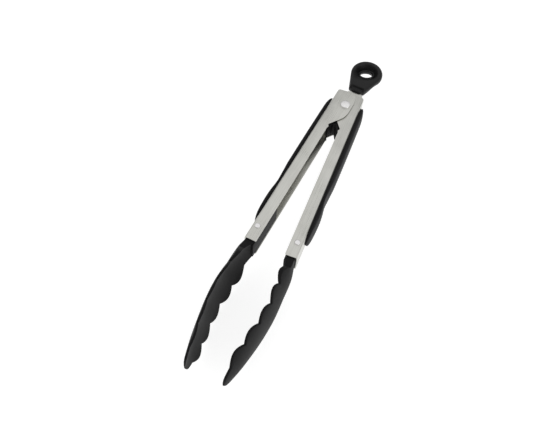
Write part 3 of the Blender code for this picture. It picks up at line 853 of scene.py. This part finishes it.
def outline_reach(outline, towards):
    """How far the outline lies from the hole's middle in one direction."""
    best = 0.0
    for a, b in zip(outline, outline[1:] + outline[:1]):
        run = b - a
        cross = towards.x * run.y - towards.y * run.x
        if abs(cross) < 1e-12:
            continue
        share = (a.x * towards.y - a.y * towards.x) / cross
        if -1e-6 <= share <= 1 + 1e-6:
            best = max(best, (a.x * run.y - a.y * run.x) / cross)
    return best


def outline_depth(outline, point):
    """How far a point inside the outline is from it."""
    best = 1.0
    for a, b in zip(outline, outline[1:] + outline[:1]):
        run = b - a
        share = max(0.0, min(1.0, (point - a).dot(run) / max(run.length_squared, 1e-12)))
        best = min(best, (point - a - share * run).length)
    return best


def tab_web(point):
    """The tilted middle of the web that carries the hole, lower at its far left."""
    return -0.7 * MM + 0.17 * point.x - 0.24 * point.y


def tab_height(point, depth, facing):
    """The height of one face of the tab: a round rim, a dish, and a pocket at the neck."""
    inset = max(0.0, TAB_ROUND - depth)
    body = TAB_HALF_THICK - TAB_ROUND + math.sqrt(max(0.0, TAB_ROUND**2 - inset**2))
    reach = point.length
    nearness = step_up(-0.15, 0.9, -point.y / max(reach, 1e-9))
    foot = 6.3 * MM
    brim = 9.1 * MM + 6.9 * MM * nearness
    rise = step_up(foot - 0.2 * MM, brim, reach)
    floor = tab_web(point) * facing + 0.45 * MM + 0.5 * MM * nearness
    pocket = 1.9 * MM * step_up(-19.3 * MM, -18.3 * MM, point.y)
    pocket *= 1 - step_up(-16.9 * MM, -15.6 * MM, point.y)
    pocket *= 1 - step_up(4.2 * MM, 5.4 * MM, abs(point.x))
    return facing * (min(floor, body) + (body - min(floor, body)) * rise - pocket)


def tab_loop(angle, outline):
    """Points from the hole's bead over the upper face to the rim, and back underneath."""
    towards = Vector((math.cos(angle), math.sin(angle)))
    outer = outline_reach(outline, towards)
    ring = HOLE_RING
    steps = 64
    faces = {}
    for facing in (1, -1):
        points = []
        for k in range(1, 9):
            turn = math.pi / 2 * k / 8
            point = towards * (ring - HOLE_BEAD * math.cos(turn))
            lift = facing * HOLE_BEAD_HEIGHT * math.sin(turn)
            points.append((*point, tab_web(point) + lift))
        for k in range(1, steps + 1):
            share = k / steps
            share -= 0.1 * math.sin(2 * math.pi * share)
            point = towards * (ring + (outer - ring) * share)
            height = tab_height(point, outline_depth(outline, point), facing)
            beyond = point.length - ring
            bead = HOLE_BEAD_HEIGHT * math.sqrt(max(0.0, 1 - (beyond / HOLE_BEAD) ** 2))
            bead += tab_web(point) * facing
            if beyond < HOLE_BEAD:
                height = facing * max(height * facing, bead)
            points.append((*point, height))
        faces[facing] = points
    inner = towards * (ring - HOLE_BEAD)
    return [(*inner, tab_web(inner))] + faces[1] + list(reversed(faces[-1]))


def pull_tab(at, surface):
    outline = tab_outline()
    count = 288
    mesh = loft([tab_loop(2 * math.pi * k / count, outline) for k in range(count)],
                caps=False, ring=True)
    mesh.transform(Matrix.Translation((TAB_SIDE, HOLE_CENTRE, 0)))
    piece("hanging_tab", mesh, at, "lock", surface, ["pull_tab"], 60.0)


# ---------------------------------------------------------------- stage

def camera():
    """The camera that sees the tongs from above their tips, a little to the right."""
    swing = math.radians(21.36)
    height = math.radians(57.94)
    roll = math.radians(3.4)
    distance = 453.7 * MM
    target = PIVOT + Vector((-7.41 * MM, -104.6 * MM, 0.0))
    turn = (Matrix.Rotation(swing, 4, "Z") @ Matrix.Rotation(math.pi / 2 - height, 4, "X")
            @ Matrix.Rotation(roll, 4, "Z"))
    lens = bpy.data.cameras.new("camera")
    lens.sensor_width = 36.0
    lens.lens = 45.8
    lens.clip_start = 0.01
    eye = bpy.data.objects.new("camera", lens)
    bpy.context.scene.collection.objects.link(eye)
    eye.matrix_world = Matrix.Translation(target + distance * (turn @ Vector((0, 0, 1)))) @ turn
    bpy.context.scene.camera = eye


def soft_light(name, where, size, power, aim):
    lamp = bpy.data.lights.new(name, "AREA")
    lamp.shape = "RECTANGLE"
    lamp.size, lamp.size_y = size
    lamp.energy = power
    holder = bpy.data.objects.new(name, lamp)
    holder.location = where
    holder.rotation_euler = (Vector(aim) - Vector(where)).to_track_quat("-Z", "Y").to_euler()
    bpy.context.scene.collection.objects.link(holder)


def stage():
    world = bpy.data.worlds.new("studio")
    world.use_nodes = True
    tree = world.node_tree
    sky = tree.nodes["Background"]
    sky.inputs["Color"].default_value = (1.0, 1.0, 1.0, 1.0)
    height = node(tree, "SeparateXYZ")
    wire_up(tree, node(tree, "TexCoord").outputs["Generated"], height.inputs["Vector"])
    glow = node(tree, "MapRange", From_Min=0.0, From_Max=0.8, To_Min=0.28, To_Max=0.88)
    wire_up(tree, height.outputs["Z"], glow.inputs["Value"])
    wire_up(tree, glow.outputs["Result"], sky.inputs["Strength"])
    bpy.context.scene.world = world
    soft_light("side_light", (1.0, -0.35, 0.26), (0.9, 0.4), 2.0, (0, 0, 0))
    shape = bmesh.new()
    bmesh.ops.create_grid(shape, x_segments=1, y_segments=1, size=4.0)
    mesh = bpy.data.meshes.new("floor")
    shape.to_mesh(mesh)
    shape.free()
    pale = bpy.data.materials.new("pale_floor")
    pale.use_nodes = True
    shader = pale.node_tree.nodes["Principled BSDF"]
    shader.inputs["Base Color"].default_value = (0.4, 0.4, 0.4, 1.0)
    shader.inputs["Emission Color"].default_value = (1.0, 1.0, 1.0, 1.0)
    shader.inputs["Emission Strength"].default_value = 0.80
    shader.inputs["Roughness"].default_value = 0.9
    shader.inputs["Specular IOR Level"].default_value = 0.1
    mesh.materials.append(pale)
    floor = bpy.data.objects.new("floor", mesh)
    floor.location = (0, 0, -0.2 * MM)
    bpy.context.scene.collection.objects.link(floor)


# ---------------------------------------------------------------- the tongs

camera()
stage()
bpy.context.scene.view_settings.view_transform = "Standard"

black = nylon("moulded_nylon")
head_black = nylon("head_nylon", 0.005, 0.008, (0.52, 0.64), 0.12)
tab_black = nylon("tab_nylon", roughness=(0.40, 0.52), shine=0.3)
bright = bright_steel("polished_rivet_steel")
washer = plain_steel("washer_steel", 0.48, 0.60)

for arm_side in (OUTER, INNER):
    arm_turn = arm_side * HALF_ANGLE
    channel(arm_side, brushed_steel(f"{ARMS[arm_side]}_brushed_steel", arm_turn))
    grip_base(arm_side, black)
    grip_skin(arm_side, rubber(f"{ARMS[arm_side]}_grip_rubber", arm_turn))
    grip_washers(arm_side, washer)
    head(arm_side, head_black)
    head_rivet(arm_side, bright)

pivot_parts(bright, black)
torsion_spring(plain_steel("spring_wire_steel"))

LOCK_PLACE = Matrix.Translation(PIVOT) @ Matrix.Rotation(-HALF_ANGLE, 4, "Z")
lock_plate(LOCK_PLACE, brushed_steel("lock_strip_steel", -HALF_ANGLE))
lock_block(LOCK_PLACE, black)
pull_tab(LOCK_PLACE, tab_black)

bpy.context.view_layer.update()
